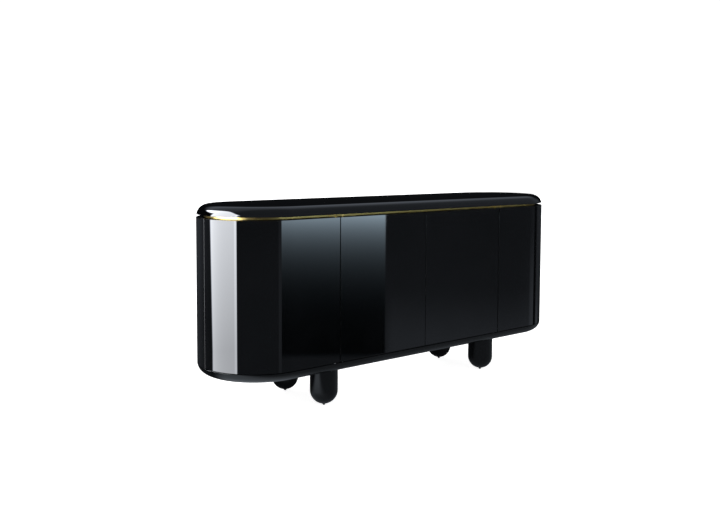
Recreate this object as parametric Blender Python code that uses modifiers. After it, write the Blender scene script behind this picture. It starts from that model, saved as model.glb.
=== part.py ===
"""Sideboard buffet with round ends: four pivoting doors under a brass-lined grip groove, on four round legs.

Metres. The origin is on the floor under the middle, +X along the front to the right, the doors face -Y, +Z up.
"""

import math

import bmesh
import bpy
from mathutils import Vector

# ---------------------------------------------------------------- driving dimensions

# Overall
LENGTH = 1.800
DEPTH = 0.472
HEIGHT = 0.793

# Slabs, legs and boards
TOP_THICKNESS = 0.0375
BASE_THICKNESS = 0.037
SLAB_EDGE_RADIUS = 0.044  # the top's upper edge and the base's lower edge
TOP_SETBACK = 0.0015  # top slab behind the door faces
BASE_UNDERSIDE = 0.149  # height of the base slab above the floor
LEG_DIAMETER = 0.110
LEG_SETBACK = 0.103  # leg axis behind the nearest long face
SHELL_THICKNESS = 0.018  # rear corner shells and back panel
BOARD_THICKNESS = 0.018  # partitions and shelves
SUB_TOP_THICKNESS = 0.018
SHELF_HEIGHT = 0.262  # top of the base slab to the underside of a shelf
CLEAT = 0.014  # shelf cleat, height and stand-off
CLEAT_REACH = 0.024  # back cleat, from the back panel to under the shelf
CLEAT_LENGTH = 0.260
BACK_CLEAT_END = 0.010  # from the back cleat to where the rear shell starts to bend

# Doors
INNER_DOOR_WIDTH = 0.450  # centre line to the middle of the hinge gap
DOOR_THICKNESS = 0.020
DOOR_EDGE_ROUND = 0.0015
HINGE_GAP = 0.004  # between an inner and an outer door
MEETING_GAP = 0.0025  # between the inner doors, and between an outer door and its rear shell
FOOT_GAP = 0.003  # under the doors
GRIP_GROOVE = 0.0115  # height of the groove between the doors and the top
SWING_ROOM = 0.0095  # behind the doors, for fingertips and for the edge that turns past the pivot
BOARD_SETBACK = 0.002  # partitions and shelves behind the front of the sub-top

# Pivots
PIVOT_FROM_EDGE = 0.016
PIVOT_FROM_FACE = 0.008
PIN_RADIUS = 0.002
PIN_IN_DOOR = 0.024
PIN_IN_BUSH = 0.0052
BUSH_LENGTH = 0.006
BUSH_WALL = 0.0012

# Trim, catches, leg fixings and glides
TRIM_HEIGHT = 0.0095
TRIM_DROP = 0.0012  # under the top slab
TRIM_THICKNESS = 0.0015
SPACER_THICKNESS = 0.019
CATCH_LENGTH = 0.036
CATCH_DEPTH = 0.018
CATCH_HEIGHT = 0.014
CATCH_FROM_MIDDLE = 0.060  # an inner door's catch from the centre line
STRIKE_LENGTH = 0.030
STRIKE_HEIGHT = 0.011
STRIKE_THICKNESS = 0.0015
CATCH_AIR = 0.0007
STUD_RADIUS = 0.005
STUD_IN_LEG = 0.034
STUD_IN_BASE = 0.022
GLIDE_RADIUS = 0.007
GLIDE_TIP_RADIUS = 0.004
GLIDE_STEM_RADIUS = 0.0025
GLIDE_STEM_LENGTH = 0.016
GLIDE_HEIGHT = 0.0065

# Clearances
FIT = 0.0003  # between pieces that touch
RUN = 0.0003  # between a pin and the bore it turns in
BLIND = 0.001  # past the end of a pin or stud in its hole

# Smoothness
END_STEPS = 32  # facets round one half-round end, divisible by 2
EDGE_STEPS = 8  # facets across a slab's rounded edge
LEG_STEPS = 28
LEG_BALL_STEPS = 8
SMALL_STEPS = 16

# ---------------------------------------------------------------- sizes that follow

END_RADIUS = DEPTH / 2
END_CENTRE = LENGTH / 2 - END_RADIUS
TOP_UNDERSIDE = HEIGHT - TOP_THICKNESS
BASE_TOP = BASE_UNDERSIDE + BASE_THICKNESS
DOOR_TOP = TOP_UNDERSIDE - GRIP_GROOVE
DOOR_FOOT = BASE_TOP + FOOT_GAP
CARCASS_FOOT = BASE_TOP + FIT
SPACER_HIGH = TOP_UNDERSIDE - FIT
SPACER_LOW = SPACER_HIGH - SPACER_THICKNESS
SUB_TOP_HIGH = SPACER_LOW - FIT
SUB_TOP_LOW = SUB_TOP_HIGH - SUB_TOP_THICKNESS
BOARD_HIGH = SUB_TOP_LOW - FIT

TRIM_INSET = DOOR_THICKNESS + SWING_ROOM
TRIM_HIGH = TOP_UNDERSIDE - TRIM_DROP
TRIM_LOW = TRIM_HIGH - TRIM_HEIGHT
SPACER_INSET = TRIM_INSET + TRIM_THICKNESS + FIT
SUB_TOP_FRONT_INSET = SPACER_INSET
SUB_TOP_REAR_INSET = SHELL_THICKNESS + FIT
BOARD_FRONT_INSET = SUB_TOP_FRONT_INSET + BOARD_SETBACK
BACK_FACE = END_RADIUS - SHELL_THICKNESS  # inner face of the back panel
PARTITION_BACK = BACK_FACE - FIT

SHELF_LOW = BASE_TOP + SHELF_HEIGHT
CLEAT_HIGH = SHELF_LOW - FIT
PARTITION_FACE = BOARD_THICKNESS / 2  # either side of X = INNER_DOOR_WIDTH

PIVOT_Y = PIVOT_FROM_FACE - END_RADIUS
BUSH_BORE = PIN_RADIUS + RUN
BUSH_RADIUS = BUSH_BORE + BUSH_WALL
BUSH_SEAT = BUSH_RADIUS + FIT

LEG_RADIUS = LEG_DIAMETER / 2
LEG_BALL_FOOT = LEG_RADIUS - math.sqrt(LEG_RADIUS ** 2 - GLIDE_RADIUS ** 2)  # cut from the ball for the glide's seat
LEG_BALL_CENTRE = GLIDE_HEIGHT - LEG_BALL_FOOT + LEG_RADIUS
LEG_HIGH = BASE_UNDERSIDE - FIT
LEG_Y = END_RADIUS - LEG_SETBACK

SIDES = (("left", -1), ("right", 1))

# colour, roughness, metallic
LACQUER = ((0.010, 0.010, 0.012), 0.08, 0.0)
BOARD = ((0.085, 0.052, 0.034), 0.45, 0.0)
BRASS = ((0.72, 0.53, 0.27), 0.28, 1.0)
STEEL = ((0.45, 0.45, 0.46), 0.35, 1.0)
BRONZE = ((0.50, 0.33, 0.16), 0.40, 1.0)
BLACK_PLASTIC = ((0.02, 0.02, 0.02), 0.50, 0.0)


# ---------------------------------------------------------------- outlines in plan

def arc(centre_x, radius, start, stop, steps):
    """Points on a circle round (centre_x, 0), from start to stop degrees, anticlockwise from +X."""
    angles = [math.radians(start + (stop - start) * i / steps) for i in range(steps + 1)]
    return [(centre_x + radius * math.cos(a), radius * math.sin(a)) for a in angles]


def stadium(inset):
    """The cabinet's plan, moved inwards by inset."""
    radius = END_RADIUS - inset
    return arc(END_CENTRE, radius, -90, 90, END_STEPS) + arc(-END_CENTRE, radius, 90, 270, END_STEPS)


def off_seam(radius):
    """Degrees by which an end at this radius stays off the seam in the plane Y = 0."""
    return math.degrees(math.asin(MEETING_GAP / 2 / radius))


def on_side(outline, side):
    """A right-hand outline for the side named: -1 mirrors it to the left."""
    return [(side * x, y) for x, y in outline]


def outer_door_outline():
    """Flat beside the hinge gap, then a quarter round to the seam at the cabinet's end."""
    hinge_edge = INNER_DOOR_WIDTH + HINGE_GAP / 2
    inner_radius = END_RADIUS - DOOR_THICKNESS
    outside = arc(END_CENTRE, END_RADIUS, -90, -off_seam(END_RADIUS), END_STEPS // 2)
    inside = arc(END_CENTRE, inner_radius, -off_seam(inner_radius), -90, END_STEPS // 2)
    return [(hinge_edge, -END_RADIUS)] + outside + inside + [(hinge_edge, -inner_radius)]


def rear_shell_outline():
    """A quarter round from the seam to the back panel."""
    inner_radius = END_RADIUS - SHELL_THICKNESS
    outside = arc(END_CENTRE, END_RADIUS, off_seam(END_RADIUS), 90, END_STEPS // 2)
    inside = arc(END_CENTRE, inner_radius, 90, off_seam(inner_radius), END_STEPS // 2)
    return outside + inside


def sub_top_outline():
    """Clear of the doors round the front, and against the rear shells round the back."""
    front = END_RADIUS - SUB_TOP_FRONT_INSET
    rear = END_RADIUS - SUB_TOP_REAR_INSET
    right = arc(END_CENTRE, front, -90, 0, END_STEPS // 2) + arc(END_CENTRE, rear, 0, 90, END_STEPS // 2)
    return right + on_side(right, -1)[::-1]


def end_shelf_outline():
    """From the partition out to the round end."""
    radius = END_RADIUS - BOARD_FRONT_INSET
    flat = INNER_DOOR_WIDTH + PARTITION_FACE + FIT
    return [(flat, -radius)] + arc(END_CENTRE, radius, -90, 90, END_STEPS) + [(flat, radius)]


# ---------------------------------------------------------------- meshes

def plate(outline, low, high):
    """A mesh of constant section between two heights, its two faces left as single polygons."""
    curve = bpy.data.curves.new("outline", "CURVE")
    curve.dimensions = "2D"
    curve.fill_mode = "BOTH"
    curve.extrude = (high - low) / 2
    spline = curve.splines.new("POLY")
    spline.points.add(len(outline) - 1)
    for point, (x, y) in zip(spline.points, outline):
        point.co = (x, y, 0, 1)
    spline.use_cyclic_u = True
    guide = bpy.data.objects.new("outline", curve)
    bpy.context.scene.collection.objects.link(guide)
    evaluated = guide.evaluated_get(bpy.context.evaluated_depsgraph_get())
    mesh = bpy.data.meshes.new_from_object(evaluated)
    bpy.data.objects.remove(guide)
    bpy.data.curves.remove(curve)

    work = bmesh.new()
    work.from_mesh(mesh)
    bmesh.ops.remove_doubles(work, verts=work.verts, dist=0.00001)
    bmesh.ops.dissolve_limit(work, angle_limit=math.radians(0.5), verts=work.verts, edges=work.edges)
    bmesh.ops.recalc_face_normals(work, faces=work.faces)
    bmesh.ops.translate(work, verts=work.verts, vec=(0, 0, (low + high) / 2))
    work.to_mesh(mesh)
    work.free()
    return mesh


def swept(section, ring=False):
    """A mesh whose plan is the stadium at each (inset, height) of a section: a slab, or a closed ring."""
    work = bmesh.new()
    loops = [[work.verts.new((x, y, height)) for x, y in stadium(inset)] for inset, height in section]
    pairs = list(zip(loops, loops[1:]))
    if ring:
        pairs.append((loops[-1], loops[0]))
    else:
        work.faces.new(loops[0])
        work.faces.new(loops[-1])
    for lower, upper in pairs:
        for i in range(len(lower)):
            work.faces.new((lower[i - 1], lower[i], upper[i], upper[i - 1]))
    bmesh.ops.recalc_face_normals(work, faces=work.faces)
    mesh = bpy.data.meshes.new("swept")
    work.to_mesh(mesh)
    work.free()
    return mesh


def slab_section(flat, face, setback):
    """(inset, height) points of a slab's edge, from its flat side round an arc to its face."""
    outward = 1 if face > flat else -1
    start = math.asin(max(0.0, 1 - abs(face - flat) / SLAB_EDGE_RADIUS))
    points = []
    if start == 0.0:
        points.append((setback, flat))
    for i in range(EDGE_STEPS + 1):
        angle = start + (math.pi / 2 - start) * i / EDGE_STEPS
        points.append((setback + SLAB_EDGE_RADIUS * (math.cos(start) - math.cos(angle)),
                       face - outward * SLAB_EDGE_RADIUS * (1 - math.sin(angle))))
    return points


def block(low, high):
    """A box mesh between two corners."""
    mesh = bpy.data.meshes.new("block")
    low, high = Vector(low), Vector(high)
    work = bmesh.new()
    bmesh.ops.create_cube(work, size=1)
    bmesh.ops.scale(work, verts=work.verts, vec=high - low)
    bmesh.ops.translate(work, verts=work.verts, vec=(low + high) / 2)
    work.to_mesh(mesh)
    work.free()
    return mesh


def rod(radius, low, high):
    """An upright cylinder mesh round the Z axis."""
    mesh = bpy.data.meshes.new("rod")
    work = bmesh.new()
    bmesh.ops.create_cone(work, cap_ends=True, segments=SMALL_STEPS, radius1=radius, radius2=radius,
                          depth=high - low)
    bmesh.ops.translate(work, verts=work.verts, vec=(0, 0, (low + high) / 2))
    work.to_mesh(mesh)
    work.free()
    return mesh


def profile_mesh(points):
    """A line of (radius, height) points for a Screw modifier."""
    mesh = bpy.data.meshes.new("profile")
    mesh.from_pydata([(r, 0, z) for r, z in points], [(i, i + 1) for i in range(len(points) - 1)], [])
    return mesh


# ---------------------------------------------------------------- objects

def fresh_collection(name):
    collection = bpy.data.collections.new(name)
    bpy.context.scene.collection.children.link(collection)
    return collection


def finish(name, colour, roughness, metallic):
    material = bpy.data.materials.new(name + "_finish")
    material.use_nodes = True
    shader = material.node_tree.nodes["Principled BSDF"]
    shader.inputs["Base Color"].default_value = (*colour, 1)
    shader.inputs["Roughness"].default_value = roughness
    shader.inputs["Metallic"].default_value = metallic
    material.diffuse_color = (*colour, 1)
    return material


def add_part(name, mesh, look, place=(0, 0, 0), parent=None):
    """A sub-part whose mesh is drawn round place; a parent empty carries it by its own location."""
    part = bpy.data.objects.new(name, mesh)
    mesh.name = name
    mesh.materials.append(finish(name, *look))
    PARTS.objects.link(part)
    part.location = Vector(place) - (parent.location if parent else Vector())
    part.parent = parent
    return part


def add_door_part(name, mesh, look, pivot):
    """A sub-part drawn in world places, with its origin moved to its door's pivot."""
    for vertex in mesh.vertices:
        vertex.co -= pivot.location
    return add_part(name, mesh, look, place=pivot.location, parent=pivot)


def smooth(part):
    part.data.shade_smooth()
    part.data.set_sharp_from_angle(angle=math.radians(30))


def turn(part, steps):
    screw = part.modifiers.new("turned", "SCREW")
    screw.axis = "Z"
    screw.steps = steps
    screw.render_steps = steps
    screw.use_merge_vertices = True
    screw.merge_threshold = 0.00001


def round_edges(part, radius, steps):
    bevel = part.modifiers.new("rounded edges", "BEVEL")
    bevel.width = radius
    bevel.segments = steps
    bevel.limit_method = "ANGLE"
    bevel.angle_limit = math.radians(60)


def drill(part, x, y, radius, low, high):
    """A round hole, upright, through the heights given."""
    cutter = bpy.data.objects.new(part.name + "_hole", rod(radius, low, high))
    cutter.location = (x, y, 0)
    cutter.hide_render = True
    cutter.display_type = "WIRE"
    CUTTERS.objects.link(cutter)
    cut = part.modifiers.new("hole", "BOOLEAN")
    cut.operation = "DIFFERENCE"
    cut.solver = "EXACT"
    cut.object = cutter


def pivot_places():
    """(door name, joint axis X) for the four doors, left to right."""
    inner = INNER_DOOR_WIDTH - HINGE_GAP / 2 - PIVOT_FROM_EDGE
    outer = INNER_DOOR_WIDTH + HINGE_GAP / 2 + PIVOT_FROM_EDGE
    return (("outer_left", -outer), ("inner_left", -inner), ("inner_right", inner), ("outer_right", outer))


# ---------------------------------------------------------------- the cabinet

def make_slabs():
    top = swept(slab_section(TOP_UNDERSIDE, HEIGHT, TOP_SETBACK))
    top_slab = add_part("top_slab", top, LACQUER)
    smooth(top_slab)
    base_slab = add_part("base_slab", swept(slab_section(BASE_TOP, BASE_UNDERSIDE, 0)), LACQUER)
    smooth(base_slab)

    for _, pivot_x in pivot_places():
        drill(top_slab, pivot_x, PIVOT_Y, BUSH_SEAT, TOP_UNDERSIDE - BLIND, TOP_UNDERSIDE + BUSH_LENGTH + FIT)
        drill(base_slab, pivot_x, PIVOT_Y, BUSH_SEAT, BASE_TOP - BUSH_LENGTH - FIT, BASE_TOP + BLIND)
    for _, x, y in leg_places():
        drill(base_slab, x, y, STUD_RADIUS + FIT, BASE_UNDERSIDE - BLIND, BASE_UNDERSIDE + STUD_IN_BASE + BLIND)

    smooth(add_part("sub_top", plate(sub_top_outline(), SUB_TOP_LOW, SUB_TOP_HIGH), BOARD))
    smooth(add_part("top_spacer", plate(stadium(SPACER_INSET), SPACER_LOW, SPACER_HIGH), BOARD))
    trim = ((TRIM_INSET, TRIM_LOW), (TRIM_INSET, TRIM_HIGH),
            (TRIM_INSET + TRIM_THICKNESS, TRIM_HIGH), (TRIM_INSET + TRIM_THICKNESS, TRIM_LOW))
    smooth(add_part("grip_trim", swept(trim, ring=True), BRASS))


def make_back():
    for word, side in SIDES:
        shell = plate(on_side(rear_shell_outline(), side), CARCASS_FOOT, DOOR_TOP)
        smooth(add_part("rear_shell_" + word, shell, LACQUER))
    half = END_CENTRE - FIT
    add_part("back_panel", block((-half, BACK_FACE, CARCASS_FOOT), (half, END_RADIUS, DOOR_TOP)), LACQUER)


def make_boards():
    front = BOARD_FRONT_INSET - END_RADIUS
    shelf_back = END_RADIUS - BOARD_FRONT_INSET
    shelf_high = SHELF_LOW + BOARD_THICKNESS
    cleat_low = CLEAT_HIGH - CLEAT
    cleat_half = CLEAT_LENGTH / 2
    for word, side in SIDES:
        middle = side * INNER_DOOR_WIDTH
        add_part("partition_" + word, block((middle - PARTITION_FACE, front, CARCASS_FOOT),
                                            (middle + PARTITION_FACE, PARTITION_BACK, BOARD_HIGH)), BOARD)
        end_shelf = plate(on_side(end_shelf_outline(), side), SHELF_LOW, shelf_high)
        smooth(add_part("shelf_" + word, end_shelf, BOARD))

        # one cleat on each face of the partition, and one on the back panel under the end shelf
        for place, away in (("end", side), ("centre", -side)):
            near = middle + away * (PARTITION_FACE + FIT)
            far = near + away * CLEAT
            cleat = block((min(near, far), -cleat_half, cleat_low), (max(near, far), cleat_half, CLEAT_HIGH))
            add_part(f"cleat_{place}_{word}", cleat, BOARD)
        near = middle + side * (PARTITION_FACE + CLEAT + 2 * FIT)
        far = side * (END_CENTRE - BACK_CLEAT_END)
        back_cleat = block((min(near, far), PARTITION_BACK - CLEAT_REACH, cleat_low),
                           (max(near, far), PARTITION_BACK, CLEAT_HIGH))
        add_part("cleat_back_" + word, back_cleat, BOARD)

    half = INNER_DOOR_WIDTH - PARTITION_FACE - FIT
    add_part("shelf_centre", block((-half, front, SHELF_LOW), (half, shelf_back, shelf_high)), BOARD)


def door_mesh(name):
    kind, word = name.split("_")
    side = dict(SIDES)[word]
    if kind == "outer":
        return plate(on_side(outer_door_outline(), side), DOOR_FOOT, DOOR_TOP)
    ends = (side * MEETING_GAP / 2, side * (INNER_DOOR_WIDTH - HINGE_GAP / 2))
    return block((min(ends), -END_RADIUS, DOOR_FOOT), (max(ends), DOOR_THICKNESS - END_RADIUS, DOOR_TOP))


def catch_middle(name):
    """X of a door's catch: near an inner door's free edge, or just before an outer door's bend."""
    kind, word = name.split("_")
    side = dict(SIDES)[word]
    if kind == "outer":
        return side * (END_CENTRE - STRIKE_LENGTH / 2 - FIT)
    return side * CATCH_FROM_MIDDLE


def make_doors():
    for name, pivot_x in pivot_places():
        pivot = bpy.data.objects.new("pivot_" + name, None)
        pivot.location = (pivot_x, PIVOT_Y, 0)
        PARTS.objects.link(pivot)
        door = add_door_part("door_" + name, door_mesh(name), LACQUER, pivot)
        smooth(door)
        round_edges(door, DOOR_EDGE_ROUND, 2)

        # the top pin crosses the grip groove into the top slab, the foot pin goes down into the base slab
        pins = (
            ("top", DOOR_TOP - PIN_IN_DOOR, TOP_UNDERSIDE + PIN_IN_BUSH, TOP_UNDERSIDE),
            ("foot", BASE_TOP - PIN_IN_BUSH, DOOR_FOOT + PIN_IN_DOOR, BASE_TOP - BUSH_LENGTH),
        )
        for end, low, high, bush_low in pins:
            drill(door, pivot_x, PIVOT_Y, PIN_RADIUS + FIT, low - BLIND, high + BLIND)
            pin = add_part(f"pin_{end}_{name}", rod(PIN_RADIUS, low, high), STEEL,
                           place=(pivot_x, PIVOT_Y, 0), parent=pivot)
            smooth(pin)
            bush = add_part(f"bush_{end}_{name}", profile_mesh((
                (BUSH_BORE, bush_low), (BUSH_BORE, bush_low + BUSH_LENGTH),
                (BUSH_RADIUS, bush_low + BUSH_LENGTH), (BUSH_RADIUS, bush_low), (BUSH_BORE, bush_low),
            )), BRONZE, place=(pivot_x, PIVOT_Y, 0))
            turn(bush, SMALL_STEPS)

        make_catch(name, pivot)


def make_catch(name, pivot):
    """A magnet block under the sub-top and the steel plate it holds, on the door's inner face."""
    middle = catch_middle(name)
    plate_front = DOOR_THICKNESS - END_RADIUS + FIT
    plate_back = plate_front + STRIKE_THICKNESS
    catch_front = plate_back + CATCH_AIR
    plate_low = BOARD_HIGH - (CATCH_HEIGHT + STRIKE_HEIGHT) / 2
    strike = block((middle - STRIKE_LENGTH / 2, plate_front, plate_low),
                   (middle + STRIKE_LENGTH / 2, plate_back, plate_low + STRIKE_HEIGHT))
    add_door_part("strike_" + name, strike, STEEL, pivot)
    magnet = block((middle - CATCH_LENGTH / 2, catch_front, BOARD_HIGH - CATCH_HEIGHT),
                   (middle + CATCH_LENGTH / 2, catch_front + CATCH_DEPTH, BOARD_HIGH))
    catch = add_part("catch_" + name, magnet, BLACK_PLASTIC)
    round_edges(catch, DOOR_EDGE_ROUND, 1)


def leg_places():
    """(name, x, y) of the four leg axes, under the partitions."""
    return [(f"{row}_{word}", side * INNER_DOOR_WIDTH, y)
            for row, y in (("front", -LEG_Y), ("back", LEG_Y)) for word, side in SIDES]


def make_legs():
    stud_bore = STUD_RADIUS + FIT
    stud_floor = LEG_HIGH - STUD_IN_LEG - BLIND
    stem_bore = GLIDE_STEM_RADIUS + FIT
    seat = GLIDE_HEIGHT
    start = math.asin(GLIDE_RADIUS / LEG_RADIUS)
    ball = []
    for i in range(LEG_BALL_STEPS + 1):
        angle = math.pi / 2 + (start - math.pi / 2) * i / LEG_BALL_STEPS
        ball.append((LEG_RADIUS * math.sin(angle), LEG_BALL_CENTRE - LEG_RADIUS * math.cos(angle)))
    leg_profile = [(0, stud_floor), (stud_bore, stud_floor), (stud_bore, LEG_HIGH), (LEG_RADIUS, LEG_HIGH)]
    leg_profile += ball
    stem_ceiling = seat + GLIDE_STEM_LENGTH + BLIND
    leg_profile += [(stem_bore, seat), (stem_bore, stem_ceiling), (0, stem_ceiling)]

    head = seat - FIT
    glide_profile = [(0, seat + GLIDE_STEM_LENGTH), (GLIDE_STEM_RADIUS, seat + GLIDE_STEM_LENGTH),
                     (GLIDE_STEM_RADIUS, head), (GLIDE_RADIUS, head), (GLIDE_TIP_RADIUS, 0), (0, 0)]

    for name, x, y in leg_places():
        turn(add_part("leg_" + name, profile_mesh(leg_profile), LACQUER, place=(x, y, 0)), LEG_STEPS)
        turn(add_part("glide_" + name, profile_mesh(glide_profile), BLACK_PLASTIC, place=(x, y, 0)), SMALL_STEPS)
        stud = rod(STUD_RADIUS, LEG_HIGH - STUD_IN_LEG, BASE_UNDERSIDE + STUD_IN_BASE)
        smooth(add_part("stud_" + name, stud, STEEL, place=(x, y, 0)))


for old in list(bpy.data.objects):
    bpy.data.objects.remove(old)
PARTS = fresh_collection("sideboard_buffet")
CUTTERS = fresh_collection("cutters")

make_slabs()
make_back()
make_boards()
make_doors()
make_legs()
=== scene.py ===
"""Looks of the black lacquer sideboard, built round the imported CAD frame."""

import math

import bmesh
import bpy
from mathutils import Matrix, Vector


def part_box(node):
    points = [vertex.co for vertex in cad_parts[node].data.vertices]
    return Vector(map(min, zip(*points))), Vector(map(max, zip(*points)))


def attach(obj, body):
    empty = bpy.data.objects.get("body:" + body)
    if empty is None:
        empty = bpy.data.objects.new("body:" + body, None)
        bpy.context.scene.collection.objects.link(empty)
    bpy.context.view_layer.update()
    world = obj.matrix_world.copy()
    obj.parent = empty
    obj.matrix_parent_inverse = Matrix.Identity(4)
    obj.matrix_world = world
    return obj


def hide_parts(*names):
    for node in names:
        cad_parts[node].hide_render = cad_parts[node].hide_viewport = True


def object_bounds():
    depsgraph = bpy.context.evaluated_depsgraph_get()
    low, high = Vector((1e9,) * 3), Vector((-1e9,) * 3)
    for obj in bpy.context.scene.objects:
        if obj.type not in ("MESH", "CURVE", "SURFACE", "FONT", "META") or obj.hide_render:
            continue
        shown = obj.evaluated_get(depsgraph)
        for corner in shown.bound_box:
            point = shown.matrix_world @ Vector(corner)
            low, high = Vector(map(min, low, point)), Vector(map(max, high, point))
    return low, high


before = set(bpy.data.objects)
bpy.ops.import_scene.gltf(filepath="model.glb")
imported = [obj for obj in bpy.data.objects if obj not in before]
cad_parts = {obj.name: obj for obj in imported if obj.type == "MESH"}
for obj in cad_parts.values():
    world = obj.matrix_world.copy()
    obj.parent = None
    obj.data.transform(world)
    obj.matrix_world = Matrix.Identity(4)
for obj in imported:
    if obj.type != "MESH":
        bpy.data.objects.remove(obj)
cad_low, cad_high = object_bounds()

SIDES = (("left", -1), ("right", 1))
DOORS = ("outer_left", "inner_left", "inner_right", "outer_right")

# ---------------------------------------------------------------- sizes, from the frame where it has them

TOP_LOW, TOP_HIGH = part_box("top_slab")
BASE_LOW, BASE_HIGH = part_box("base_slab")
DOOR_LOW, DOOR_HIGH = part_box("door_inner_right")
OUTER_LOW, OUTER_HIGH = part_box("door_outer_right")
SHELL_LOW, SHELL_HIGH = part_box("rear_shell_right")
BACK_LOW, BACK_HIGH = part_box("back_panel")
TRIM_LOW, TRIM_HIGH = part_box("grip_trim")

END_RADIUS = BASE_HIGH.y
END_CENTRE = BASE_HIGH.x - END_RADIUS
TOP_SETBACK = BASE_HIGH.x - TOP_HIGH.x
SLAB_EDGE_RADIUS = 0.044
SLAB_ARRIS = 0.0006
DOOR_THICKNESS = DOOR_HIGH.y - DOOR_LOW.y
SHELL_THICKNESS = BACK_HIGH.y - BACK_LOW.y
SEAM = -OUTER_HIGH.y
TRIM_THICKNESS = 0.0015
TRIM_ARRIS = 0.0003
DOOR_ARRIS = 0.0003
PANEL_ARRIS = 0.0010
WIDTH_TOLERANCE = 0.001
END_STEPS = 128
EDGE_STEPS = 32
ARRIS_STEPS = 4
LEG_STEPS = 96
BALL_STEPS = 32

# ---------------------------------------------------------------- stage and camera

FLOOR_REACH = 14
FLOOR_THICKNESS = 0.02
FLOOR_GLOW = 0.85
APRON_REACH = 0.62  # past the sideboard's plan
APRON_LOW = -0.004
APRON_HIGH = -0.003
FILL_POWER = 1.08  # of the world, for the camera and for diffuse light

CAMERA_PLACE = (-2.4633, -2.777, 0.9896)
CAMERA_HEADING = -39.6835  # degrees, anticlockwise from +Y
CAMERA_TILT = 86.0785  # degrees, up from straight down
CAMERA_ROLL = 0.2429  # degrees
CAMERA_LENS = 43.01
CAMERA_SHIFT = -0.0614
SENSOR_WIDTH = 36

DEGREES = 180 / math.pi


# ---------------------------------------------------------------- mesh tools

def arc(centre_x, radius, start, stop, steps):
    """Points on a circle round (centre_x, 0), from start to stop degrees, anticlockwise from +X."""
    angles = [math.radians(start + (stop - start) * i / steps) for i in range(steps + 1)]
    return [(centre_x + radius * math.cos(a), radius * math.sin(a)) for a in angles]


def on_side(outline, side):
    return [(side * x, y) for x, y in outline]


def add_object(name, mesh, material):
    piece = bpy.data.objects.new(name, mesh)
    mesh.name = name
    mesh.materials.append(material)
    bpy.context.scene.collection.objects.link(piece)
    return piece


def plate(outline, low, high):
    """A mesh of constant section between two heights."""
    mesh = bpy.data.meshes.new("plate")
    work = bmesh.new()
    foot = work.faces.new([work.verts.new((x, y, low)) for x, y in outline])
    raised = bmesh.ops.extrude_face_region(work, geom=[foot])
    lifted = [e for e in raised["geom"] if isinstance(e, bmesh.types.BMVert)]
    bmesh.ops.translate(work, verts=lifted, vec=(0, 0, high - low))
    bmesh.ops.recalc_face_normals(work, faces=work.faces)
    work.to_mesh(mesh)
    work.free()
    return mesh


def stadium(inset):
    """The plan of the sideboard, drawn in by an inset: two straight sides and two round ends."""
    radius = END_RADIUS - inset
    return arc(END_CENTRE, radius, -90, 90, END_STEPS) + arc(-END_CENTRE, radius, 90, 270, END_STEPS)


def swept(section, ring=False):
    """A mesh whose plan is the stadium at each (inset, height) of a section: a slab, or a closed ring."""
    mesh = bpy.data.meshes.new("swept")
    work = bmesh.new()
    loops = [[work.verts.new((x, y, height)) for x, y in stadium(inset)] for inset, height in section]
    pairs = list(zip(loops, loops[1:]))
    if ring:
        pairs.append((loops[-1], loops[0]))
    else:
        work.faces.new(loops[0])
        work.faces.new(loops[-1])
    for lower, upper in pairs:
        for i in range(len(lower)):
            work.faces.new((lower[i - 1], lower[i], upper[i], upper[i - 1]))
    bmesh.ops.recalc_face_normals(work, faces=work.faces)
    work.to_mesh(mesh)
    work.free()
    return mesh


def slab_section(flat, face, setback):
    """(inset, height) points of a slab's edge: a small arris at its flat side, then an arc to its face."""
    outward = 1 if face > flat else -1
    start = math.asin(1 - abs(face - flat) / SLAB_EDGE_RADIUS)
    points = []
    for i in range(ARRIS_STEPS):
        angle = math.pi / 2 * i / ARRIS_STEPS
        inset = setback + SLAB_ARRIS * (1 - math.sin(angle))
        points.append((inset, flat + outward * SLAB_ARRIS * (1 - math.cos(angle))))
    for i in range(EDGE_STEPS + 1):
        angle = start + (math.pi / 2 - start) * i / EDGE_STEPS
        height = face - outward * SLAB_EDGE_RADIUS * (1 - math.sin(angle))
        if abs(height - flat) > SLAB_ARRIS:
            points.append((setback + SLAB_EDGE_RADIUS * (math.cos(start) - math.cos(angle)), height))
    return points


def block(low, high):
    mesh = bpy.data.meshes.new("block")
    low, high = Vector(low), Vector(high)
    work = bmesh.new()
    bmesh.ops.create_cube(work, size=1)
    bmesh.ops.scale(work, verts=work.verts, vec=high - low)
    bmesh.ops.translate(work, verts=work.verts, vec=(low + high) / 2)
    work.to_mesh(mesh)
    work.free()
    return mesh


def turned(profile, centre, steps):
    """A turned solid from (radius, height) points, top to bottom down its outer side."""
    mesh = bpy.data.meshes.new("turned")
    work = bmesh.new()
    line = [work.verts.new((r, 0, z)) for r, z in profile]
    edges = [work.edges.new(pair) for pair in zip(line, line[1:])]
    bmesh.ops.spin(work, geom=line + edges, cent=(0, 0, 0), axis=(0, 0, 1), angle=math.tau, steps=steps,
                   use_merge=True)
    bmesh.ops.remove_doubles(work, verts=work.verts, dist=1e-6)
    bmesh.ops.recalc_face_normals(work, faces=work.faces)
    bmesh.ops.translate(work, verts=work.verts, vec=(centre[0], centre[1], 0))
    work.to_mesh(mesh)
    work.free()
    return mesh


def smooth(piece, angle=30):
    piece.data.shade_smooth()
    piece.data.set_sharp_from_angle(angle=math.radians(angle))


def soften(piece, radius, steps=3, angle=60):
    """Round every sharp edge of a piece."""
    bevel = piece.modifiers.new("softened edges", "BEVEL")
    bevel.width = radius
    bevel.segments = steps
    bevel.limit_method = "ANGLE"
    bevel.angle_limit = math.radians(angle)
    bevel.harden_normals = True


def settle(piece, body, slot, *nodes):
    """Put a piece on its body, in place of the CAD nodes named."""
    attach(piece, body)
    if nodes:
        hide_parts(*nodes)


# ---------------------------------------------------------------- materials

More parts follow.
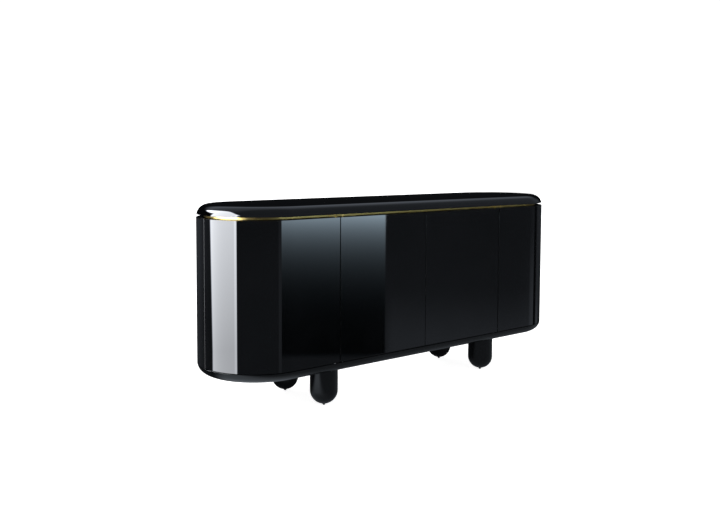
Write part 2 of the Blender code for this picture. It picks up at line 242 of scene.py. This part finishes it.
class Nodes:
    """Short calls for building one node tree."""

    def __init__(self, tree):
        self.tree = tree

    def add(self, kind, **settings):
        node = self.tree.nodes.new(kind)
        for key, value in settings.items():
            setattr(node, key, value)
        return node

    def link(self, source, target):
        self.tree.links.new(source, target)

    def math(self, operation, *values):
        node = self.add("ShaderNodeMath", operation=operation)
        for socket, value in zip(node.inputs, values):
            if isinstance(value, (int, float)):
                socket.default_value = value
            else:
                self.link(value, socket)
        return node.outputs[0]

    def times(self, first, *others):
        for other in others:
            first = self.math("MULTIPLY", first, other)
        return first

    def plus(self, first, second):
        return self.math("ADD", first, second)

    def minus(self, first, second):
        return self.math("SUBTRACT", first, second)

    def mix(self, first, second, share):
        """first where share is 0, second where it is 1."""
        return self.plus(self.times(self.minus(1.0, share), first), self.times(share, second))

    def between(self, value, low, high, to_low=0.0, to_high=1.0, eased=True):
        """value's place between low and high, from to_low to to_high, held beyond them."""
        node = self.add("ShaderNodeMapRange", interpolation_type="SMOOTHSTEP" if eased else "LINEAR")
        node.inputs["From Min"].default_value = low
        node.inputs["From Max"].default_value = high
        node.inputs["To Min"].default_value = to_low
        node.inputs["To Max"].default_value = to_high
        self.link(value, node.inputs["Value"])
        return node.outputs["Result"]

    def window(self, value, low, high, low_soft, high_soft):
        """1 from low to high and 0 outside, each edge eased over its own softness to either side."""
        return self.times(self.between(value, low - low_soft, low + low_soft),
                          self.between(value, high - high_soft, high + high_soft, 1.0, 0.0))

    def tinted(self, first, second, share, blend="MIX"):
        """Two colours mixed by a share."""
        node = self.add("ShaderNodeMixRGB", blend_type=blend)
        self.link(share, node.inputs["Fac"])
        for socket, colour in (("Color1", first), ("Color2", second)):
            if isinstance(colour, tuple):
                node.inputs[socket].default_value = (*colour, 1)
            else:
                self.link(colour, node.inputs[socket])
        return node.outputs["Color"]

    def mapped(self, vector, scale):
        node = self.add("ShaderNodeMapping")
        node.inputs["Scale"].default_value = scale
        self.link(vector, node.inputs["Vector"])
        return node.outputs["Vector"]

    def noise(self, vector, scale, detail=4.0, roughness=0.5, distortion=0.0):
        node = self.add("ShaderNodeTexNoise")
        node.inputs["Scale"].default_value = scale
        node.inputs["Detail"].default_value = detail
        node.inputs["Roughness"].default_value = roughness
        node.inputs["Distortion"].default_value = distortion
        self.link(vector, node.inputs["Vector"])
        return node.outputs["Fac"]

    def ramp(self, value, *stops):
        node = self.add("ShaderNodeValToRGB")
        elements = node.color_ramp.elements
        elements[0].position, elements[0].color = stops[0][0], (*stops[0][1], 1)
        elements[1].position, elements[1].color = stops[-1][0], (*stops[-1][1], 1)
        for position, colour in stops[1:-1]:
            elements.new(position).color = (*colour, 1)
        self.link(value, node.inputs["Fac"])
        return node.outputs["Color"]

    def bump(self, height, distance, strength=1.0, normal=None):
        node = self.add("ShaderNodeBump")
        node.inputs["Distance"].default_value = distance
        node.inputs["Strength"].default_value = strength
        self.link(height, node.inputs["Height"])
        if normal is not None:
            self.link(normal, node.inputs["Normal"])
        return node.outputs["Normal"]


def new_material(name, **constants):
    """A Principled material; returns it, its shader, its node helper and the object coordinates."""
    material = bpy.data.materials.new(name)
    material.use_nodes = True
    nodes = Nodes(material.node_tree)
    shader = material.node_tree.nodes["Principled BSDF"]
    for key, value in constants.items():
        shader.inputs[key.replace("_", " ")].default_value = value
    place = nodes.add("ShaderNodeTexCoord").outputs["Object"]
    return material, shader, nodes, place


def make_lacquer(name, roughness, peel, gloss=0.5):
    """Black lacquer: faint clouds in the black, a polish that varies, and orange peel."""
    material, shader, nodes, place = new_material(name, IOR=1.5, Specular_IOR_Level=gloss)
    cloud = nodes.noise(place, 7.0, detail=3.0)
    colour = nodes.ramp(cloud, (0.35, (0.0004, 0.0005, 0.0006)), (0.65, (0.0008, 0.0009, 0.0011)))
    nodes.link(colour, shader.inputs["Base Color"])
    polish = nodes.noise(place, 23.0, detail=5.0)
    nodes.link(nodes.between(polish, 0.35, 0.65, *roughness), shader.inputs["Roughness"])
    orange_peel = nodes.noise(place, 320.0, detail=1.0, roughness=0.4)
    nodes.link(nodes.bump(orange_peel, peel), shader.inputs["Normal"])
    return material


def make_brass():
    """Satin brass, brushed along the strip."""
    material, shader, nodes, place = new_material("satin_brass", Metallic=1.0)
    brushed = nodes.noise(nodes.mapped(place, (14.0, 14.0, 2600.0)), 1.0, detail=3.0)
    colour = nodes.ramp(brushed, (0.30, (0.40, 0.29, 0.09)), (0.55, (0.52, 0.39, 0.13)),
                        (0.8, (0.64, 0.49, 0.19)))
    nodes.link(colour, shader.inputs["Base Color"])
    nodes.link(nodes.between(brushed, 0.3, 0.7, 0.22, 0.34), shader.inputs["Roughness"])
    nodes.link(nodes.bump(brushed, 4e-6), shader.inputs["Normal"])
    return material


def make_veneer(name, along):
    """Smoked oak: long grain along one axis, pores as short dark streaks."""
    material, shader, nodes, place = new_material(name)

    def drawn_out(scale):
        """Coordinates scaled along the grain only."""
        return nodes.mapped(place, [scale if axis == along else 1.0 for axis in "XYZ"])

    figure = nodes.noise(drawn_out(0.06), 16.0, detail=6.0, roughness=0.55, distortion=0.6)
    bands = nodes.noise(drawn_out(0.06), 90.0, detail=3.0)
    pores = nodes.noise(drawn_out(0.025), 700.0, detail=2.0)
    mixed = nodes.plus(nodes.times(figure, 0.7), nodes.times(bands, 0.3))
    colour = nodes.ramp(mixed, (0.30, (0.030, 0.017, 0.010)), (0.5, (0.062, 0.036, 0.021)),
                        (0.72, (0.105, 0.064, 0.038)))
    dark = nodes.tinted(colour, (0.25, 0.2, 0.18), nodes.between(pores, 0.56, 0.66, 0.0, 0.75), "MULTIPLY")
    nodes.link(dark, shader.inputs["Base Color"])
    nodes.link(nodes.between(bands, 0.3, 0.7, 0.38, 0.52), shader.inputs["Roughness"])
    grain = nodes.bump(bands, 0.0002, 0.5)
    nodes.link(nodes.bump(pores, 0.0001, 0.4, normal=grain), shader.inputs["Normal"])
    return material


def make_metal(name, dark, light, roughness, scale):
    """A plain metal, clouded between two tones."""
    material, shader, nodes, place = new_material(name, Metallic=1.0)
    cloud = nodes.noise(place, scale, detail=6.0, roughness=0.65)
    nodes.link(nodes.ramp(cloud, (0.35, dark), (0.65, light)), shader.inputs["Base Color"])
    nodes.link(nodes.between(cloud, 0.3, 0.7, *roughness), shader.inputs["Roughness"])
    nodes.link(nodes.bump(nodes.noise(place, scale * 8, detail=2.0), 0.00003), shader.inputs["Normal"])
    return material


def make_plastic():
    """Moulded black plastic with a fine grain."""
    material, shader, nodes, place = new_material("black_plastic")
    grain = nodes.noise(place, 1500.0, detail=2.0)
    nodes.link(nodes.ramp(grain, (0.3, (0.010, 0.010, 0.010)), (0.7, (0.020, 0.020, 0.021))),
               shader.inputs["Base Color"])
    nodes.link(nodes.between(grain, 0.3, 0.7, 0.42, 0.58), shader.inputs["Roughness"])
    nodes.link(nodes.bump(grain, 0.00005), shader.inputs["Normal"])
    return material


LACQUER = make_lacquer("black_lacquer", (0.006, 0.014), 6e-7)
LEG_LACQUER = make_lacquer("black_leg_lacquer", (0.05, 0.08), 2e-6)
EDGE_LACQUER = make_lacquer("black_edge_lacquer", (0.34, 0.42), 6e-6, gloss=0.2)
BRASS = make_brass()
VENEER_LONG = make_veneer("smoked_oak_long", "X")
VENEER_UP = make_veneer("smoked_oak_up", "Z")
VENEER_DEEP = make_veneer("smoked_oak_deep", "Y")
STEEL = make_metal("zinc_steel", (0.36, 0.36, 0.37), (0.56, 0.56, 0.57), (0.26, 0.42), 180.0)
BRONZE = make_metal("sintered_bronze", (0.34, 0.21, 0.10), (0.52, 0.34, 0.17), (0.36, 0.50), 260.0)
PLASTIC = make_plastic()


# ---------------------------------------------------------------- pieces

def make_slabs():
    """The top and the base, each a stadium with one rounded edge. The CAD slabs' bores are left out."""
    top = add_object("lacquered_top", swept(slab_section(TOP_LOW.z, TOP_HIGH.z, TOP_SETBACK)), LACQUER)
    base = add_object("lacquered_base", swept(slab_section(BASE_HIGH.z, BASE_LOW.z, 0)), LACQUER)
    for slab, node in ((top, "top_slab"), (base, "base_slab")):
        smooth(slab, 40)
        settle(slab, "cabinet", "lacquer_black", node)


def off_seam(radius):
    """How far round the end, in degrees off +X, the seam meets a circle of this radius."""
    return math.degrees(math.asin(SEAM / radius))


def satin_edges(door):
    """Put the edge lacquer on a door's narrow faces: its head, its foot and its two ends."""
    door.data.materials.append(EDGE_LACQUER)
    for face in door.data.polygons:
        plan = [door.data.vertices[i].co.xy for i in face.vertices]
        width = max((a - b).length for a in plan for b in plan)
        upright = abs(face.normal.z) < 0.9
        if not upright or abs(width - DOOR_THICKNESS) < WIDTH_TOLERANCE:
            face.material_index = 1


def make_doors():
    """Two flat inner doors, and two outer ones bent round the end to its seam. Pin bores are left out."""
    inner_radius = END_RADIUS - DOOR_THICKNESS
    outside = arc(END_CENTRE, END_RADIUS, -90, -off_seam(END_RADIUS), END_STEPS // 2)
    inside = arc(END_CENTRE, inner_radius, -off_seam(inner_radius), -90, END_STEPS // 2)
    bent = [(OUTER_LOW.x, -END_RADIUS)] + outside + inside + [(OUTER_LOW.x, -inner_radius)]
    flat = [(DOOR_LOW.x, DOOR_LOW.y), (DOOR_HIGH.x, DOOR_LOW.y)]
    flat += [(DOOR_HIGH.x, DOOR_HIGH.y), (DOOR_LOW.x, DOOR_HIGH.y)]
    for name in DOORS:
        kind, word = name.split("_")
        outline = on_side(bent if kind == "outer" else flat, dict(SIDES)[word])
        door = add_object("lacquered_door_" + name, plate(outline, DOOR_LOW.z, DOOR_HIGH.z), LACQUER)
        satin_edges(door)
        smooth(door)
        soften(door, DOOR_ARRIS)
        settle(door, "door_" + name, "lacquer_black", "door_" + name)


def make_back():
    """The rear corner shells and the flat back between them."""
    inner_radius = END_RADIUS - SHELL_THICKNESS
    outside = arc(END_CENTRE, END_RADIUS, off_seam(END_RADIUS), 90, END_STEPS // 2)
    inside = arc(END_CENTRE, inner_radius, 90, off_seam(inner_radius), END_STEPS // 2)
    for word, side in SIDES:
        shell = add_object("lacquered_shell_" + word,
                           plate(on_side(outside + inside, side), SHELL_LOW.z, SHELL_HIGH.z), LACQUER)
        smooth(shell)
        soften(shell, PANEL_ARRIS)
        settle(shell, "cabinet", "lacquer_black", "rear_shell_" + word)
    panel = add_object("lacquered_back", block(BACK_LOW, BACK_HIGH), LACQUER)
    soften(panel, PANEL_ARRIS)
    settle(panel, "cabinet", "lacquer_black", "back_panel")


def make_legs():
    """Four round legs, each ending in a ball cut flat at its glide. Stud and stem bores are left out."""
    for row in ("front", "back"):
        for word, _ in SIDES:
            name = f"{row}_{word}"
            low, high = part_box("leg_" + name)
            radius = (high.x - low.x) / 2
            middle = (low + high) / 2
            glide_low, glide_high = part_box("glide_" + name)
            glide_radius = (glide_high.x - glide_low.x) / 2
            foot = math.asin(glide_radius / radius)
            ball_centre = low.z + radius * math.cos(foot)
            ball = []
            for i in range(BALL_STEPS + 1):
                angle = math.pi / 2 + (foot - math.pi / 2) * i / BALL_STEPS
                ball.append((radius * math.sin(angle), ball_centre - radius * math.cos(angle)))
            profile = [(0, high.z), (radius, high.z)] + ball + [(0, low.z)]
            leg = add_object("lacquered_leg_" + name, turned(profile, middle, LEG_STEPS), LEG_LACQUER)
            smooth(leg)
            settle(leg, "cabinet", "lacquer_black", "leg_" + name)


def make_trim():
    """The brass strip: one ring round the groove, its arrises broken."""
    inset = BASE_HIGH.y - TRIM_HIGH.y
    section = []
    for along, up in ((0, 0), (0, 1), (1, 1), (1, 0)):
        height = TRIM_HIGH.z if up else TRIM_LOW.z
        corner = (inset + along * TRIM_THICKNESS, height)
        into_along = (corner[0] + (TRIM_ARRIS if along == 0 else -TRIM_ARRIS), height)
        into_up = (corner[0], height + (-TRIM_ARRIS if up else TRIM_ARRIS))
        section += [into_along, into_up] if along == up else [into_up, into_along]
    trim = add_object("brass_strip", swept(section, ring=True), BRASS)
    smooth(trim)
    settle(trim, "cabinet", "brass_satin", "grip_trim")


CAD_LOOKS = (
    (("shelf", "cleat_back"), VENEER_LONG),
    (("partition",), VENEER_UP),
    (("cleat",), VENEER_DEEP),
    (("pin_top",), BRASS),
    (("pin_", "stud_", "strike_"), STEEL),
    (("bush_",), BRONZE),
    (("catch_", "glide_"), PLASTIC),
)


def look_of(name):
    """The first look whose beginning fits a node's name, or else the lacquer."""
    for beginnings, look in CAD_LOOKS:
        if name.startswith(beginnings):
            return look
    return LACQUER


def dress_cad_nodes():
    for name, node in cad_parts.items():
        node.data.materials.clear()
        node.data.materials.append(look_of(name))


# ---------------------------------------------------------------- stage

def make_floor():
    """A pale floor that glows, so that shadows hardly darken the background."""
    material, shader, nodes, place = new_material(
        "pale_floor", Roughness=0.9, Specular_IOR_Level=0.0,
        Emission_Color=(1, 1, 1, 1), Emission_Strength=FLOOR_GLOW)
    cloud = nodes.noise(place, 3.0, detail=3.0)
    pale = nodes.ramp(cloud, (0.3, (0.93, 0.93, 0.93)), (0.7, (0.95, 0.95, 0.95)))
    nodes.link(pale, shader.inputs["Base Color"])
    corners = [(-FLOOR_REACH, -FLOOR_REACH), (FLOOR_REACH, -FLOOR_REACH)]
    corners += [(FLOOR_REACH, FLOOR_REACH), (-FLOOR_REACH, FLOOR_REACH)]
    floor = add_object("floor", plate(corners, -FLOOR_THICKNESS, 0), material)
    floor.visible_glossy = False


def make_apron():
    """The floor beside the sideboard as its legs mirror it: it hides the softbox from low down."""
    material, shader, nodes, place = new_material(
        "floor_seen_in_gloss", Base_Color=(0, 0, 0, 1), Specular_IOR_Level=0.0,
        Emission_Color=(0.90, 1.00, 1.12, 1))
    split = nodes.add("ShaderNodeSeparateXYZ")
    nodes.link(place, split.inputs[0])
    x, y, _ = split.outputs
    left = nodes.between(x, -cad_high.x, -0.40, 1.0, 0.0)
    near_axis = nodes.times(nodes.between(y, -0.42, -0.20), nodes.between(y, -0.05, 0.15, 1.0, 0.0))
    glow = nodes.times(left, near_axis, 0.7)
    level = nodes.between(y, -0.2, 0.1, 0.15, 0.03)
    nodes.link(nodes.plus(glow, level), shader.inputs["Emission Strength"])
    apron = add_object("apron", plate(stadium(-APRON_REACH), APRON_LOW, APRON_HIGH), material)
    apron.visible_camera = False
    apron.visible_diffuse = False
    apron.visible_shadow = False


# ---------------------------------------------------------------- world

class Direction:
    """Where a ray leaves the scene: its x and y, and two azimuths and its rise in degrees."""

    def __init__(self, nodes):
        split = nodes.add("ShaderNodeSeparateXYZ")
        nodes.link(nodes.add("ShaderNodeTexCoord").outputs["Generated"], split.inputs[0])
        self.x, self.y, z = split.outputs
        to_left = nodes.times(self.x, -1.0)
        to_front = nodes.times(self.y, -1.0)
        # from -X growing towards -Y, and from -Y growing towards +X
        self.from_left = nodes.times(nodes.math("ARCTAN2", to_front, to_left), DEGREES)
        self.from_front = nodes.times(nodes.math("ARCTAN2", self.x, to_front), DEGREES)
        self.rise = nodes.times(nodes.math("ARCSINE", z), DEGREES)


def left_softbox(nodes, way):
    """Share and power of a tall body whose near edge leans, with a wider head under an arched edge."""
    off_middle = nodes.math("POWER", nodes.plus(way.from_left, 28.0), 2.0)
    arch = nodes.minus(54.0, nodes.times(off_middle, 0.0111))
    under_arch = nodes.between(nodes.minus(arch, way.rise), -1.0, 1.0)
    lean = nodes.between(way.rise, -13.0, -4.0, 0.0, -4.6, eased=False)
    body = nodes.times(nodes.window(nodes.minus(way.from_left, lean), -36.8, 40.0, 1.8, 1.0),
                       nodes.between(way.from_left, 15.9, 17.1, 1.0, 0.0),
                       nodes.between(way.rise, -41.0, -39.0))
    head = nodes.times(nodes.window(way.from_left, -76.0, 24.0, 1.0, 1.0), nodes.between(way.rise, 25.0, 29.0))
    share = nodes.times(nodes.math("MAXIMUM", body, head), under_arch)
    rim = nodes.between(way.from_left, 11.5, 12.5, 1.0, 1.25)
    power = nodes.times(nodes.between(way.rise, -13.0, 0.0, 9.1, 18.8, eased=False), rim)
    # the height at which the brass strip mirrors the room through its groove, dimmer than the rest
    groove = nodes.window(way.rise, -4.4, -0.6, 0.05, 0.3)
    return share, nodes.mix(power, 4.0, groove)


def front_panel(nodes, way):
    """Share and power of a panel that is bright along its upper edge and black below."""
    tall = nodes.times(nodes.between(way.rise, -13.7, -13.2), nodes.between(way.rise, -3.4, -3.0, 1.0, 0.0))
    share = nodes.times(nodes.window(way.from_front, 9.2, 41.4, 0.12, 0.06), tall)
    fade = nodes.math("EXPONENT", nodes.times(nodes.plus(way.rise, 4.6), 0.84))
    lit = nodes.plus(nodes.times(fade, 4.1), 0.008)
    return share, nodes.mix(lit, 0.45, nodes.between(way.rise, -4.2, -4.0))


def level_light(nodes, way):
    """Power level with the doors: dim, with the panel's pale border and two strips at the far right."""
    dim = nodes.times(nodes.between(way.rise, -9.0, -4.5, 0.125, 0.11),
                      nodes.between(way.from_front, 43.0, 50.0, 1.0, 0.8))
    low_glow = nodes.times(nodes.between(way.from_front, 41.0, 42.0),
                           nodes.between(way.rise, -8.5, -13.0, 0.0, 0.16))
    border = nodes.times(nodes.window(way.from_front, 3.5, 9.2, 0.5, 0.12), 0.12)
    front = nodes.plus(nodes.plus(dim, low_glow), border)
    pale_strip = nodes.between(way.rise, -12.5, -5.0, 0.38, 0.10, eased=False)
    front = nodes.mix(front, pale_strip, nodes.window(way.from_front, 53.0, 68.0, 3.0, 1.0))
    front = nodes.mix(front, 0.012, nodes.window(way.from_front, 68.5, 79.5, 1.0, 1.0))
    back = nodes.times(nodes.between(way.x, -0.3, 0.3, 1.0, 0.5),
                       nodes.between(way.rise, -12.5, -5.0, 0.075, 0.12))
    return nodes.mix(front, back, nodes.between(way.y, 0.0, 0.1))


def room_light(nodes, way):
    """Power of the room without its softboxes: floor, doors' level and what is above."""
    pale_left = nodes.between(way.x, -0.57, 0.54, 1.25, 0.03, eased=False)
    low_front = nodes.between(way.y, -0.1, 0.1, 0.14, 0.04)
    below = nodes.mix(pale_left, low_front, nodes.between(way.rise, -48.0, -36.0))
    # grey in front, a dark backdrop under a pale ceiling behind
    above = nodes.mix(nodes.between(way.rise, 2.0, 20.0, 0.13, 0.225),
                      nodes.between(way.rise, 22.0, 38.0, 0.006, 0.5), nodes.between(way.y, -0.1, 0.3))
    room = nodes.mix(below, level_light(nodes, way), nodes.between(way.rise, -17.0, -14.0))
    return nodes.mix(room, above, nodes.between(way.rise, -3.0, 2.0))


def make_world():
    """White for the camera and the fill; softboxes and dark flags for reflections."""
    world = bpy.data.worlds.new("studio")
    bpy.context.scene.world = world
    world.use_nodes = True
    nodes = Nodes(world.node_tree)
    background = world.node_tree.nodes["Background"]
    way = Direction(nodes)
    left_share, left_power = left_softbox(nodes, way)
    front_share, front_power = front_panel(nodes, way)
    power = nodes.mix(nodes.mix(room_light(nodes, way), front_power, front_share), left_power, left_share)
    tint = nodes.tinted((0.90, 1.00, 1.16), (0.78, 1.00, 1.18), front_share)
    tint = nodes.tinted(tint, (0.97, 1.00, 1.06), left_share)
    glossy = nodes.add("ShaderNodeLightPath").outputs["Is Glossy Ray"]
    nodes.link(nodes.mix(FILL_POWER, power, glossy), background.inputs["Strength"])
    nodes.link(nodes.tinted((1.0, 1.0, 1.0), tint, glossy), background.inputs["Color"])


def make_camera():
    camera_data = bpy.data.cameras.new("camera")
    camera = bpy.data.objects.new("camera", camera_data)
    bpy.context.scene.collection.objects.link(camera)
    camera_data.sensor_width = SENSOR_WIDTH
    camera_data.lens = CAMERA_LENS
    camera_data.shift_y = CAMERA_SHIFT
    heading = Matrix.Rotation(math.radians(CAMERA_HEADING), 4, "Z")
    tilt = Matrix.Rotation(math.radians(CAMERA_TILT), 4, "X")
    roll = Matrix.Rotation(math.radians(CAMERA_ROLL), 4, "Z")
    camera.matrix_world = Matrix.Translation(CAMERA_PLACE) @ heading @ tilt @ roll
    bpy.context.scene.camera = camera


make_slabs()
make_doors()
make_back()
make_legs()
make_trim()
dress_cad_nodes()
make_floor()
make_apron()
make_world()
make_camera()
bpy.context.scene.view_settings.view_transform = "Standard"

bpy.context.view_layer.update()
